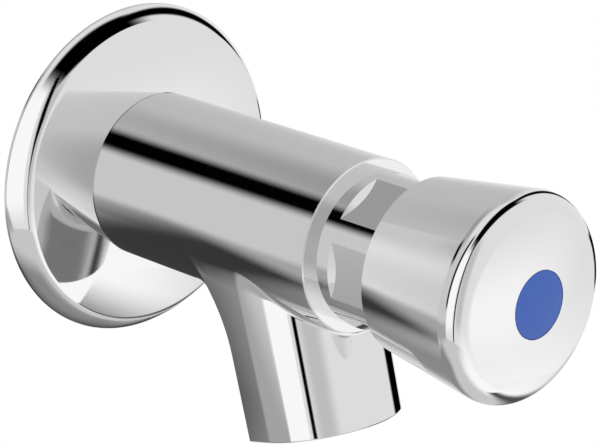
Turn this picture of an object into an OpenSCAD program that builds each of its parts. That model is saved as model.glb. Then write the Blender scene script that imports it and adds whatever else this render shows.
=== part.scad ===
// Push timed wall tap: a chromed bib tap that a push of its button opens and that closes by itself.
// The wall is the plane y = 0 and the tap stands out from it towards -Y, with +Z up.
// The origin is the middle of the inlet on the wall plane.
// Distances named s run along the barrel's axis, out from the wall.

/* [Wall flange] */
// Diameter of the wall flange
flange_d = 70.5; // [66:0.1:80]
// Distance from the wall to the face that the barrel seats on
flange_h = 7; // [6.4:0.1:9]
// Fall of the flange's face from the barrel to the rim
flange_fall = 6.9; // [5:0.1:9]
// Lean of the flange's skirt, from the rim out to the foot
flange_lean = 34; // [26:1:40]
// Radius of the rim between face and skirt
flange_rim_r = 2.2; // [1.4:0.1:3]
// Straight side of the foot below the skirt
flange_side = 0.5; // [0.3:0.1:1.2]
// Wall of the hollow flange
flange_wall = 1.6; // [1.2:0.1:2.2]
// Width of the rim's foot
flange_foot = 3.4; // [2.6:0.1:4.4]
// Width of the foam gasket
gasket_w = 5.8; // [4:0.1:7]
// Thickness of the foam gasket
gasket_t = 2; // [1.4:0.1:2.6]
// How far the gasket stands proud of the rim's foot
gasket_proud = 0.4; // [0.2:0.1:0.8]

/* [Barrel] */
// Diameter of the barrel
barrel_d = 35; // [35:0.1:40]
// Length of the barrel from the flange to its front face
barrel_len = 61.8; // [60:0.1:66]
// Bevel of the barrel's front and rear edge
edge_bevel = 0.25; // [0.15:0.05:0.8]
// Diameter of the bore that takes the headwork
head_bore_d = 28; // [27:0.1:28.6]
// Depth of that bore from the front face
head_bore_depth = 16.2; // [15:0.1:18]
// Diameter of the bore that takes the rear of the cartridge
rear_bore_d = 24; // [22.4:0.1:25]
// Diameter of the inlet chamber behind the valve
chamber_d = 18; // [17:0.1:19]

/* [Inlet tail] */
// Outside diameter of the pipe thread
thread_d = 20.955; // [20.955:G1/2, 26.441:G3/4]
// Length of the tail behind the wall plane
thread_len = 15; // [13:0.1:20]
// Step from the thread up to the plain spigot that goes through the flange
spigot_step = 0.5; // [0.3:0.1:1]
// Chamfer at the end of the thread
thread_chamfer = 1; // [0.6:0.1:1.4]
// Bore of the tail
inlet_bore_d = 14; // [13:0.1:15]
// Narrow throat that the flow limiter seats on
throat_d = 11; // [9:0.1:12]

/* [Inlet filter and flow limiter] */
// Diameter of the filter's rim
filter_rim_d = 16; // [15.6:0.1:16.6]
// Thickness of the filter's rim
filter_rim_t = 2; // [1.4:0.1:2.4]
// Length of the filter's cup
filter_cup_len = 9; // [7:0.1:10]
// Wall of the filter's cup
filter_wall = 0.8; // [0.6:0.1:1]
// Diameter of each filter hole
filter_hole_d = 1.6; // [1:0.1:2]
// Thickness of the flow limiter
limiter_t = 4; // [3:0.1:5]
// Diameter of each limiter hole
limiter_hole_d = 2; // [1:0.1:2.4]

/* [Spout] */
// Distance from the barrel's front face back to where the spout's axis leaves the barrel's axis
spout_setback = 22.7; // [21:0.1:25]
// Lean of the spout towards the front
spout_tilt = 15.6; // [10:0.1:17]
// Diameter of the spout at the barrel's axis
spout_root_d = 34.6; // [33:0.1:34.8]
// Diameter of the spout at its mouth
spout_tip_d = 31.4; // [29:0.1:32]
// Length of the spout from the barrel's axis
spout_len = 42; // [40:0.1:52]
// Radius of the sweep from the underside of the barrel into the back of the spout
sweep_r = 14; // [11:0.5:16]
// Diameter of the waterway in the spout
spout_bore_d = 18; // [15:0.1:20]
// Diameter of the socket in the spout's mouth
mouth_d = 24; // [23:0.1:25]
// Bevel of the spout's lip
lip_bevel = 0.4; // [0.2:0.05:0.8]
// How far the outlet ring lies behind the lip
mouth_recess = 0.6; // [0.3:0.1:2]
// Length of the outlet ring
outlet_ring_len = 3.4; // [2.4:0.1:5]
// Opening of the outlet ring
outlet_ring_bore_d = 20; // [18:0.1:21]
// Thickness of the flow straightener
straightener_t = 5; // [3:0.1:6]
// Diameter of each straightener hole
straightener_hole_d = 2.2; // [1.6:0.1:2.4]
// Thickness of the outlet washer
outlet_washer_t = 1.5; // [1:0.1:2]

/* [Headwork] */
// Diameter of the neck
neck_d = 31; // [30.6:0.1:31.4]
// Width of the neck across its spanner flats
neck_flats = 28.9; // [27:0.1:29.6]
// Length of the round collar in front of the barrel
collar_len = 4.6; // [3:0.1:6]
// Length of the sloped shoulder between the collar and the flats
shoulder_len = 1.2; // [0.6:0.1:2]
// Length of the neck from the barrel's face
neck_len = 24.1; // [22:0.1:26]
// Length of the headwork inside the barrel
head_shank_len = 14; // [12:0.1:14.6]
// Distance from the barrel's face to the web that holds the guide bush
web_s = 3.8; // [2:0.1:6]
// Thickness of that web
web_t = 4; // [3:0.1:5]
// Diameter of the spring pocket in the neck
pocket_d = 22; // [21.4:0.1:23]
// Cord diameter of the headwork's seal
head_cord_d = 1.9; // [1.6:0.1:2.1]

/* [Cartridge] */
// Length of the cartridge sleeve
sleeve_len = 44; // [42:0.1:46]
// Length of the thick rear end of the sleeve
sleeve_rear_len = 8; // [7:0.1:9]
// Diameter of the sleeve inside the headwork
sleeve_d = 20.8; // [20:0.1:21.4]
// Diameter of the sleeve's waist at its ports
sleeve_waist_d = 19.2; // [18.4:0.1:20]
// Bore of the sleeve, which the piston runs in
sleeve_bore_d = 16; // [15:0.1:16.4]
// Thickness of the sleeve's rear wall
sleeve_floor = 7; // [6.6:0.1:8]
// Diameter of each port in the sleeve
port_d = 4.8; // [3:0.1:5.4]
// Cord diameter of the sleeve's seal
sleeve_cord_d = 2.4; // [1.8:0.1:2.6]
// Outside diameter of the valve seat
seat_d = 14; // [13:0.1:14.6]
// Bore of the valve seat
seat_bore_d = 9; // [8:0.1:9.6]
// Length of the valve seat in the sleeve
seat_len = 5.5; // [4:0.1:6]
// How far the valve seat stands out of the sleeve
seat_proud = 0.8; // [0.5:0.1:1.2]
// Thickness of the guide bush's flange
bush_flange_t = 2.5; // [2:0.1:3]
// Diameter of the guide bush in the web
bush_d = 12; // [11:0.1:13]
// Thickness of the clip on the guide bush
bush_clip_t = 1; // [0.8:0.1:1.2]
// Cord diameter of the spindle's seal
spindle_cord_d = 1.8; // [1.4:0.1:1.9]
// Diameter of the metering pin
pin_d = 1; // [0.6:0.1:1.2]

/* [Spindle and piston] */
// Stroke of the button
travel = 8; // [6:0.1:8.4]
// Diameter of the spindle
spindle_d = 7; // [6:0.1:7.4]
// Diameter of the stem behind the piston
stem_d = 5; // [4.4:0.1:5.4]
// Diameter of the thread at the rear of the stem
stem_thread_d = 4; // [3:0.1:4.2]
// Diameter of the collar at the front of the spindle
spindle_collar_d = 11; // [10:0.1:13]
// Thickness of that collar
spindle_collar_t = 2; // [1.4:0.1:3]
// Length of the piston
piston_len = 6.5; // [6:0.1:7]
// Room between piston and guide bush when the tap is shut
piston_room = 3; // [2:0.1:4]
// Thickness of the piston's clip
piston_clip_t = 0.9; // [0.7:0.1:1.1]
// Diameter of the valve washer
washer_d = 13.6; // [12.8:0.1:15]
// Thickness of the valve washer
washer_t = 3; // [2.4:0.1:3.4]
// Thickness of the plate behind the valve washer
plate_t = 1.5; // [1:0.1:1.8]
// Width of the washer nut across its flats
nut_flats = 7; // [6.4:0.1:8]
// Thickness of the washer nut
nut_t = 3; // [2.4:0.1:3.2]

/* [Return spring] */
// Wire diameter of the spring
wire_d = 1.4; // [1:0.1:1.5]
// Diameter of the spring at the middle of its wire
coil_d = 18; // [17.6:0.1:18.6]
// Turns of the spring, with its two end turns
turns = 7; // [5:1:8]
// Diameter of the spring cap
cap_d = 26; // [24:0.1:27]
// Thickness of the spring cap
cap_t = 2; // [1.4:0.1:3]

/* [Push button] */
// Gap between the barrel's face and the back of the button
button_gap = 15; // [13:0.1:16]
// Length of the button
button_len = 28.9; // [28:0.1:31]
// Diameter of the button at its back
button_back_d = 34.8; // [34:0.1:37]
// Diameter that the button's cone would reach at its front
button_front_d = 42.7; // [40:0.1:45]
// Radius of the button's rounded rim
button_rim_r = 4.4; // [2.6:0.1:4.6]
// Radius of the button's domed face
dome_r = 92; // [60:1:110]
// Thickness of the button's front
button_face_t = 5.6; // [5:0.1:6.4]
// Bevel of the button's back edge
button_bevel = 0.5; // [0.2:0.05:0.8]
// Diameter of the blue disc
disc_d = 13.2; // [11:0.1:15]
// Thickness of the blue disc
disc_t = 1.5; // [1:0.1:1.6]
// Diameter of the button's screw
screw_d = 4; // [3:0.1:4.2]
// Length of the screw in the spindle
screw_grip = 8; // [6:0.1:12]
// Diameter of the screw's head
screw_head_d = 7.6; // [6.6:0.1:8]
// Height of the screw's head
screw_head_h = 2.6; // [2:0.1:2.8]

/* [Clearances] */
// Radial clearance of pieces that are screwed, pressed or dropped together
fit = 0.05; // [0.03:0.01:0.08]
// Radial clearance of pieces that slide in one another
slide = 0.08; // [0.05:0.01:0.1]
// Radial gap between the button's skirt and the neck
skirt_gap = 0.25; // [0.2:0.05:0.3]
// Gap left at the stops of the stroke
stop_gap = 0.3; // [0.2:0.05:0.5]
// How much wider a seal's groove is than its cord
groove_play = 0.3; // [0.1:0.05:0.4]

/* [Hidden] */

$fn = 64;
eps = 0.01;
chrome = "#d4d8da";
brass = "#c2a24c";
steel = "#a9aeb2";
white_plastic = "#e8e6df";
black_rubber = "#26282a";

// Metal or plastic left beside a groove, between two holes and round the metering pin
end_land = 1;
hole_land = 0.8;
pin_wall = 0.6;

// Stations along the barrel's axis, from the wall out
face_s = flange_h + barrel_len;
web_rear_s = face_s + web_s;
web_front_s = web_rear_s + web_t;
neck_end_s = face_s + neck_len;
sleeve_rear_s = web_rear_s - sleeve_len;
head_rear_s = face_s - head_shank_len;
spout_s = face_s - spout_setback;

// Stations of the moving pieces with the tap shut
seat_s = sleeve_rear_s - seat_proud;
washer_front_s = seat_s - fit;
washer_rear_s = washer_front_s - washer_t;
plate_rear_s = washer_rear_s - plate_t;
nut_rear_s = plate_rear_s - nut_t;
stem_end = 0.6;
stem_rear_s = nut_rear_s - stem_end;
bush_rear_s = web_rear_s - bush_flange_t;
piston_front_s = bush_rear_s - piston_room;
piston_rear_s = piston_front_s - piston_len;
cap_rear_s = neck_end_s + travel + stop_gap;
cap_front_s = cap_rear_s + cap_t;
spindle_front_s = cap_front_s + spindle_collar_t;
button_back_s = face_s + button_gap;
crown_s = button_back_s + button_len;

// The inlet chamber is long enough for the stroke, and the limiter seats in front of the wall plane
chamber_rear_s = stem_rear_s - travel - 3*stop_gap;
limiter_front_s = filter_rim_t + filter_cup_len + limiter_t + stop_gap - thread_len;

// Plain part of the tail, from the wall plane to the barrel
spigot_d = thread_d + 2*spigot_step;

// Bore of the button, sliding over the neck
skirt_bore_d = neck_d + 2*skirt_gap;

// Moves children from the origin's +Z axis onto the barrel's axis, s out from the wall
module along_barrel(s = 0) {
    translate([0, -s, 0]) rotate([90, 0, 0]) children();
}

// Moves children onto the spout's axis, t down from the barrel's axis, with +Y to the front
module along_spout(t = 0) {
    translate([0, -spout_s, 0]) rotate([180 - spout_tilt, 0, 0]) translate([0, 0, t]) children();
}

// Half outline of a turned piece: each step is [start, diameter], and the last start closes it
module turned_outline(steps) {
    last = len(steps) - 1;
    edge = [for (i = [0 : last - 1], k = [0, 1]) [steps[i][1]/2, steps[i + k][0]]];
    polygon(concat([[0, steps[0][0]]], edge, [[0, steps[last][0]]]));
}

// A turned piece on the barrel's axis
module turned(steps) {
    along_barrel() rotate_extrude() turned_outline(steps);
}

// A bored ring between two stations
module ring(from, to, outer_d, bore_d) {
    difference() {
        turned([[from, outer_d], [to]]);
        turned([[from - eps, bore_d], [to + eps]]);
    }
}

// A round cord ring round the barrel's axis
module cord_ring(s, mean_d, cord_d) {
    along_barrel(s) rotate_extrude() translate([mean_d/2, 0]) circle(d = cord_d);
}

// Drill holes spread evenly on a circle
module drill_circle(count, circle_d, hole_d, depth) {
    for (i = [0 : count - 1])
        rotate(i*360/count) translate([circle_d/2, 0, -eps]) cylinder(d = hole_d, h = depth + 2*eps);
}

// Body

// Radius of the spout at a distance t along it
function spout_r(t) = (spout_root_d + (spout_tip_d - spout_root_d)*t/spout_len)/2;

// Middle of the sweep's curve behind the spout, as [distance behind the axis, distance along it].
// The curve starts and ends a little inside the spout and the barrel, so that it runs into them cleanly.
sweep_sink = 0.15;
spout_slope = (spout_root_d - spout_tip_d)/2/spout_len;
sweep_reach = spout_root_d/2 - sweep_sink + sweep_r*sqrt(1 + spout_slope*spout_slope);
sweep_drop = (barrel_d/2 - sweep_sink + sweep_r)/cos(spout_tilt);
sweep_back = (sweep_reach - spout_slope*sweep_drop)/(1 - spout_slope*tan(spout_tilt));
sweep_down = sweep_drop - sweep_back*tan(spout_tilt);
// The bent tube is a little narrower than the spout, and turns until it lies along the barrel
sweep_inset = 0.6;
sweep_tube_r = spout_r(sweep_down) - sweep_inset;
sweep_turn = 90 - spout_tilt;

module barrel_outline() {
    r = barrel_d/2;
    polygon([
        [0, flange_h], [r - edge_bevel, flange_h], [r, flange_h + edge_bevel],
        [r, face_s - edge_bevel], [r - edge_bevel, face_s], [0, face_s]
    ]);
}

module tail_outline() {
    r = thread_d/2;
    polygon([
        [0, -thread_len], [r - thread_chamfer, -thread_len], [r, thread_chamfer - thread_len],
        [r, 0], [spigot_d/2, 0], [spigot_d/2, flange_h + eps], [0, flange_h + eps]
    ]);
}

module spout_outline() {
    polygon([
        [0, 0], [spout_root_d/2, 0], [spout_r(spout_len - lip_bevel), spout_len - lip_bevel],
        [spout_tip_d/2 - lip_bevel, spout_len], [0, spout_len]
    ]);
}

// Bent tube that carries the underside of the barrel round into the back of the spout
module sweep() {
    along_spout() translate([0, -sweep_back, sweep_down]) rotate([90, 0, 90])
        rotate([0, 0, -sweep_turn]) rotate_extrude(angle = sweep_turn)
            translate([sweep_r + sweep_tube_r, 0]) circle(r = sweep_tube_r);
}

mouth_floor_t = spout_len - mouth_recess - outlet_ring_len - straightener_t - outlet_washer_t;

module body() color(chrome) {
    difference() {
        union() {
            along_barrel() rotate_extrude() barrel_outline();
            along_barrel() rotate_extrude() tail_outline();
            along_spout() rotate_extrude() spout_outline();
            sweep();
        }
        turned([
            [-thread_len - eps, filter_rim_d + 2*fit], [filter_rim_t - thread_len, inlet_bore_d],
            [limiter_front_s, throat_d], [chamber_rear_s, chamber_d], [sleeve_rear_s, rear_bore_d],
            [face_s - head_bore_depth, head_bore_d], [face_s + eps]
        ]);
        along_spout() rotate_extrude()
            turned_outline([[0, spout_bore_d], [mouth_floor_t, mouth_d], [spout_len + eps]]);
    }
}

// Wall flange

gasket_r = flange_d/2 - flange_foot;
flange_seat_r = barrel_d/2 + 2*fit;

module flange_outline() {
    outer_r = flange_d/2;
    seat = [flange_seat_r, flange_h];
    foot = [outer_r, gasket_proud + flange_side];
    outward = [cos(flange_fall), -sin(flange_fall)];
    upward = [-sin(flange_lean), cos(flange_lean)];
    // Face and skirt would meet in this corner; the rim rounds it off
    corner = foot + cross(seat - foot, outward)/cross(upward, outward)*upward;
    trim = flange_rim_r*tan((90 - flange_lean - flange_fall)/2);
    face_end = corner - trim*outward;
    polygon([
        [0, gasket_proud], [outer_r, gasket_proud], foot, corner - trim*upward, face_end, seat,
        [0, flange_h]
    ]);
    translate(face_end - flange_rim_r*[sin(flange_fall), cos(flange_fall)]) circle(r = flange_rim_r);
}

module flange_hollow_outline() {
    floor_s = flange_h - flange_wall;
    polygon([
        [0, 0], [gasket_r, 0], [gasket_r, gasket_t], [gasket_r - gasket_w, gasket_t],
        [flange_seat_r, floor_s], [0, floor_s]
    ]);
}

module wall_flange() color(chrome) {
    difference() {
        along_barrel() rotate_extrude() flange_outline();
        along_barrel() rotate_extrude() flange_hollow_outline();
        turned([[0, spigot_d + 4*fit], [flange_h + eps]]);
    }
}

module flange_gasket() color(black_rubber) {
    ring(0, gasket_t, 2*gasket_r - 2*fit, 2*gasket_r - 2*gasket_w);
}

// Inlet filter and flow limiter

filter_rows = 2;
filter_columns = 8;
filter_end_holes = 6;
limiter_holes = 6;

module inlet_filter() color(steel) {
    rim_s = filter_rim_t - thread_len;
    end_s = rim_s + filter_cup_len;
    cup_d = inlet_bore_d - 4*fit;
    row_gap = (filter_cup_len - filter_wall)/filter_rows;
    difference() {
        turned([[-thread_len, filter_rim_d], [rim_s, cup_d], [end_s]]);
        turned([[-thread_len - eps, cup_d - 2*filter_wall], [end_s - filter_wall]]);
        for (row = [0 : filter_rows - 1], column = [0 : filter_columns - 1])
            along_barrel(rim_s + (row + 0.5)*row_gap)
                rotate((column + row/2)*360/filter_columns) rotate([0, 90, 0])
                    translate([0, 0, cup_d/4]) cylinder(d = filter_hole_d, h = cup_d);
        along_barrel(end_s - filter_wall) drill_circle(filter_end_holes, cup_d/2, filter_hole_d, filter_wall);
    }
}

module flow_limiter() color(white_plastic) {
    rear_s = limiter_front_s - limiter_t;
    difference() {
        turned([[rear_s, inlet_bore_d - 2*fit], [limiter_front_s]]);
        along_barrel(rear_s) drill_circle(limiter_holes, throat_d/2, limiter_hole_d, limiter_t);
    }
}

// Outlet of the spout

insert_d = mouth_d - 2*fit;
straightener_rear_t = mouth_floor_t + outlet_washer_t;
ring_rear_t = straightener_rear_t + straightener_t;
hole_step = straightener_hole_d + hole_land;
hole_rings = 2;

module outlet_washer() color(black_rubber) {
    along_spout(mouth_floor_t) difference() {
        cylinder(d = insert_d, h = outlet_washer_t);
        translate([0, 0, -eps]) cylinder(d = spout_bore_d, h = outlet_washer_t + 2*eps);
    }
}

module flow_straightener() color(white_plastic) {
    along_spout(straightener_rear_t) difference() {
        cylinder(d = insert_d, h = straightener_t);
        for (row = [0 : hole_rings])
            drill_circle(max(1, 6*row), 2*row*hole_step, straightener_hole_d, straightener_t);
    }
}

module outlet_ring() color(chrome) {
    along_spout(ring_rear_t) difference() {
        cylinder(d = insert_d, h = outlet_ring_len);
        translate([0, 0, -eps]) cylinder(d = outlet_ring_bore_d, h = outlet_ring_len + 2*eps);
    }
}

// Headwork

head_groove_w = head_cord_d + groove_play;
head_groove_s = head_rear_s + end_land;
head_shank_d = head_bore_d - 2*fit;
head_groove_d = head_shank_d - 2*head_cord_d - 2*fit;
flats_s = face_s + collar_len;

module neck() {
    intersection() {
        turned([[face_s, neck_d], [neck_end_s]]);
        union() {
            turned([[face_s, neck_d], [flats_s]]);
            along_barrel(flats_s) cylinder(d1 = neck_d, d2 = neck_flats, h = shoulder_len);
            along_barrel(flats_s) rotate(30)
                cylinder(d = neck_flats/cos(30), h = neck_end_s - flats_s, $fn = 6);
        }
    }
}

module headwork() color(chrome) {
    difference() {
        union() {
            neck();
            turned([
                [head_rear_s, head_shank_d], [head_groove_s, head_groove_d],
                [head_groove_s + head_groove_w, head_shank_d], [face_s + eps]
            ]);
        }
        turned([
            [head_rear_s - eps, sleeve_d + 2*fit], [web_rear_s, bush_d + 2*fit],
            [web_front_s, pocket_d], [neck_end_s + eps]
        ]);
    }
}

module headwork_seal() color(black_rubber) {
    cord_ring(head_groove_s + head_groove_w/2, head_shank_d - head_cord_d, head_cord_d);
}

// Cartridge

sleeve_rear_d = rear_bore_d - 2*fit;
sleeve_groove_w = sleeve_cord_d + groove_play;
sleeve_groove_s = sleeve_rear_s + (sleeve_rear_len - sleeve_groove_w)/2;
sleeve_groove_d = sleeve_rear_d - 2*sleeve_cord_d - 2*fit;
port_count = 6;
port_rows = 2;
waist_end_s = head_rear_s;

module cartridge_sleeve() color(white_plastic) {
    waist_s = sleeve_rear_s + sleeve_rear_len;
    row_gap = (waist_end_s - waist_s)/port_rows;
    difference() {
        turned([
            [sleeve_rear_s, sleeve_rear_d], [sleeve_groove_s, sleeve_groove_d],
            [sleeve_groove_s + sleeve_groove_w, sleeve_rear_d], [waist_s, sleeve_waist_d],
            [waist_end_s, sleeve_d], [web_rear_s]
        ]);
        turned([
            [sleeve_rear_s - eps, seat_d + 2*fit], [sleeve_rear_s + seat_len, seat_bore_d],
            [sleeve_rear_s + sleeve_floor, sleeve_bore_d], [web_rear_s + eps]
        ]);
        for (row = [0 : port_rows - 1], i = [0 : port_count - 1])
            along_barrel(waist_s + (row + 0.5)*row_gap) rotate((i + row/2)*360/port_count)
                rotate([0, 90, 0]) translate([0, 0, sleeve_bore_d/4])
                    cylinder(d = port_d, h = sleeve_waist_d);
    }
}

module sleeve_seal() color(black_rubber) {
    cord_ring(sleeve_groove_s + sleeve_groove_w/2, sleeve_rear_d - sleeve_cord_d, sleeve_cord_d);
}

module valve_seat() color(steel) {
    lip_d = (seat_d + seat_bore_d)/2;
    difference() {
        turned([[seat_s, lip_d], [sleeve_rear_s, seat_d], [sleeve_rear_s + seat_len]]);
        turned([[seat_s - eps, seat_bore_d], [sleeve_rear_s + seat_len + eps]]);
    }
}

// The clip's groove lies in front of the web
clip_s = web_front_s + fit;
bush_clip_depth = 0.8;
bush_clip_w = 2.3;
bush_front_s = clip_s + bush_clip_t + end_land;
bush_groove_d = bush_d - 2*bush_clip_depth;
seal_groove_d = spindle_d + 2*spindle_cord_d + 4*fit;
seal_groove_w = spindle_cord_d + groove_play;
seal_groove_s = bush_rear_s + (bush_flange_t + web_t - seal_groove_w)/2;
// The metering pin stands nearer to the spindle than to the sleeve
pin_shift = 0.4;
pin_circle_d = (spindle_d + sleeve_bore_d)/2 - 2*pin_shift;
pin_front_s = bush_rear_s + bush_flange_t/2;
pin_rear_s = piston_front_s - travel - end_land;

module guide_bush() color(white_plastic) {
    difference() {
        turned([
            [bush_rear_s, sleeve_bore_d - 2*fit], [web_rear_s, bush_d], [clip_s - fit, bush_groove_d],
            [clip_s + bush_clip_t + fit, bush_d], [bush_front_s]
        ]);
        turned([
            [bush_rear_s - eps, spindle_d + 2*slide], [seal_groove_s, seal_groove_d],
            [seal_groove_s + seal_groove_w, spindle_d + 2*slide], [bush_front_s + eps]
        ]);
        along_barrel(bush_rear_s - eps) translate([0, pin_circle_d/2, 0])
            cylinder(d = pin_d + 2*fit, h = pin_front_s - bush_rear_s + eps);
    }
}

module bush_clip() color(steel) {
    ring(clip_s, clip_s + bush_clip_t, bush_groove_d + 2*bush_clip_w, bush_groove_d + 2*fit);
}

module spindle_seal() color(black_rubber) {
    cord_ring(seal_groove_s + seal_groove_w/2, spindle_d + 2*slide + spindle_cord_d, spindle_cord_d);
}

module metering_pin() color(steel) {
    along_barrel(pin_rear_s) translate([0, pin_circle_d/2, 0])
        cylinder(d = pin_d, h = pin_front_s - pin_rear_s);
}

// Return spring and its cap

spring_len = cap_rear_s - web_front_s;
end_gap = 0.5;
end_pitch = wire_d + end_gap;
mid_pitch = (spring_len - wire_d - 2*end_pitch)/(turns - 2);
rings_per_turn = 16;
wire_sides = 6;

// Height of the wire's middle after so many turns, with a close turn at each end
function wire_h(n) = wire_d/2 + end_pitch*min(n, 1) + mid_pitch*max(0, min(n, turns - 1) - 1)
    + end_pitch*max(0, n - turns + 1);

function wire_ring(n) = [for (k = [0 : wire_sides - 1])
    let (out = coil_d/2 + wire_d/2*cos(k*360/wire_sides))
        [out*cos(n*360), out*sin(n*360), wire_h(n) + wire_d/2*sin(k*360/wire_sides)]];

ring_total = turns*rings_per_turn;
wire_points = [for (i = [0 : ring_total]) each wire_ring(i/rings_per_turn)];
wire_walls = [for (i = [0 : ring_total - 1], k = [0 : wire_sides - 1])
    let (a = i*wire_sides + k, b = i*wire_sides + (k + 1) % wire_sides)
        each [[a, b, a + wire_sides], [b, b + wire_sides, a + wire_sides]]];
first_cap = [for (k = [1 : wire_sides - 2]) [0, k + 1, k]];
last_cap = [for (k = [1 : wire_sides - 2]) ring_total*wire_sides*[1, 1, 1] + [0, k, k + 1]];
echo(least_spring_gap = min(end_pitch, mid_pitch) - wire_d);

module return_spring() color(steel) {
    along_barrel(web_front_s) polyhedron(wire_points, concat(wire_walls, first_cap, last_cap));
}

module spring_cap() color(brass) {
    ring(cap_rear_s, cap_front_s, cap_d, spindle_d + 2*fit);
}

// Spindle, piston and valve

stem_clip_depth = 0.5;
stem_clip_w = 2.5;
clip_groove_d = stem_d - 2*stem_clip_depth;
clip_rear_s = piston_rear_s - piston_clip_t - fit;

module spindle() color(steel) {
    difference() {
        turned([
            [stem_rear_s, stem_thread_d], [washer_front_s, stem_d], [clip_rear_s - fit, clip_groove_d],
            [piston_rear_s, stem_d], [piston_front_s, spindle_d], [cap_front_s, spindle_collar_d],
            [spindle_front_s]
        ]);
        turned([[spindle_front_s - screw_grip - end_land, screw_d + 2*fit], [spindle_front_s + eps]]);
    }
}

piston_groove_w = 2.4;
piston_groove_s = piston_rear_s + (piston_len - piston_groove_w)/2;
piston_groove_d = pin_circle_d + pin_d + 2*pin_wall;
piston_d = sleeve_bore_d - 2*slide;

module piston() color(white_plastic) {
    difference() {
        turned([
            [piston_rear_s, piston_d], [piston_groove_s, piston_groove_d],
            [piston_groove_s + piston_groove_w, piston_d], [piston_front_s]
        ]);
        turned([[piston_rear_s - eps, stem_d + 2*fit], [piston_front_s + eps]]);
        along_barrel(piston_rear_s - eps) translate([0, pin_circle_d/2, 0])
            cylinder(d = pin_d + 2*slide, h = piston_len + 2*eps);
    }
}

module piston_seal() color(black_rubber) {
    from = piston_groove_s + fit;
    ring(from, from + piston_groove_w - 2*fit, piston_d, piston_groove_d + 2*fit);
}

module piston_clip() color(steel) {
    ring(clip_rear_s, clip_rear_s + piston_clip_t, clip_groove_d + 2*stem_clip_w, clip_groove_d + 2*fit);
}

module valve_washer() color(black_rubber) {
    ring(washer_rear_s, washer_front_s, washer_d, stem_thread_d + 2*fit);
}

module washer_plate() color(brass) {
    overhang = 0.4;
    ring(plate_rear_s, washer_rear_s, washer_d + 2*overhang, stem_thread_d + 2*fit);
}

module washer_nut() color(brass) {
    along_barrel(nut_rear_s) difference() {
        cylinder(d = nut_flats/cos(30), h = nut_t, $fn = 6);
        translate([0, 0, -eps]) cylinder(d = stem_thread_d + 2*fit, h = nut_t + 2*eps);
    }
}

// Push button

button_slope = (button_front_d - button_back_d)/2/button_len;
button_unit = sqrt(1 + button_slope*button_slope);
dome_s = crown_s - dome_r;
// Middle of the rim's rounding, which touches both the cone and the dome from inside
rim_line = button_back_d/2 + button_slope*(dome_s - button_back_s) - button_rim_r*button_unit;
rim_up = (sqrt(pow(rim_line*button_slope, 2)
    - button_unit*button_unit*(rim_line*rim_line - pow(dome_r - button_rim_r, 2)))
    - rim_line*button_slope)/(button_unit*button_unit);
rim_mid = [rim_line + button_slope*rim_up, dome_s + rim_up];
rim_on_cone = rim_mid + button_rim_r/button_unit*[1, -button_slope];
rim_on_dome = [0, dome_s] + dome_r/(dome_r - button_rim_r)*(rim_mid - [0, dome_s]);
ceiling_s = crown_s - button_face_t;
boss_wall = 2.5;
boss_d = spindle_collar_d + 2*boss_wall;
screw_seat_t = 1.8;
head_seat_s = spindle_front_s + screw_seat_t;
disc_floor_s = crown_s - disc_t;

// Half outline of the domed face above a station, out to a radius
module dome_outline(floor_s, out_r) {
    intersection() {
        translate([0, dome_s]) circle(r = dome_r, $fn = 200);
        translate([0, floor_s]) square([out_r, button_len]);
    }
}

module button_outline() {
    back_r = button_back_d/2;
    polygon([
        [0, button_back_s], [back_r - button_bevel, button_back_s],
        [back_r + button_slope*button_bevel, button_back_s + button_bevel],
        rim_on_cone, rim_on_dome, [0, rim_on_dome[1]]
    ]);
    intersection() {
        translate(rim_mid) circle(r = button_rim_r);
        translate([0, button_back_s]) square([button_front_d, button_len]);
    }
    dome_outline(rim_on_dome[1], rim_on_dome[0]);
}

module push_button() color(chrome) {
    difference() {
        along_barrel() rotate_extrude() button_outline();
        difference() {
            turned([[button_back_s - eps, skirt_bore_d], [ceiling_s]]);
            turned([[spindle_front_s, boss_d], [ceiling_s + eps]]);
        }
        turned([
            [spindle_front_s - eps, screw_d + 2*fit], [head_seat_s, screw_head_d + 4*fit],
            [disc_floor_s, disc_d + 2*fit], [crown_s + eps]
        ]);
    }
}

module button_screw() color(steel) {
    slot_w = 1;
    slot_depth = 1;
    head_top_s = head_seat_s + screw_head_h;
    difference() {
        turned([
            [spindle_front_s - screw_grip, screw_d], [head_seat_s, screw_head_d], [head_top_s]
        ]);
        along_barrel(head_top_s) cube([slot_w, screw_head_d + 2*eps, 2*slot_depth], center = true);
    }
}

module index_disc() color("#4b6bb4") {
    along_barrel() rotate_extrude() dome_outline(disc_floor_s, disc_d/2);
}

body();
wall_flange();
flange_gasket();
inlet_filter();
flow_limiter();
outlet_washer();
flow_straightener();
outlet_ring();
headwork();
headwork_seal();
cartridge_sleeve();
sleeve_seal();
valve_seat();
guide_bush();
bush_clip();
spindle_seal();
metering_pin();
return_spring();
spring_cap();
spindle();
piston();
piston_seal();
piston_clip();
valve_washer();
washer_plate();
washer_nut();
push_button();
button_screw();
index_disc();
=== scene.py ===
import math

import bpy
import numpy as np
from mathutils import Matrix, Vector


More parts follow.
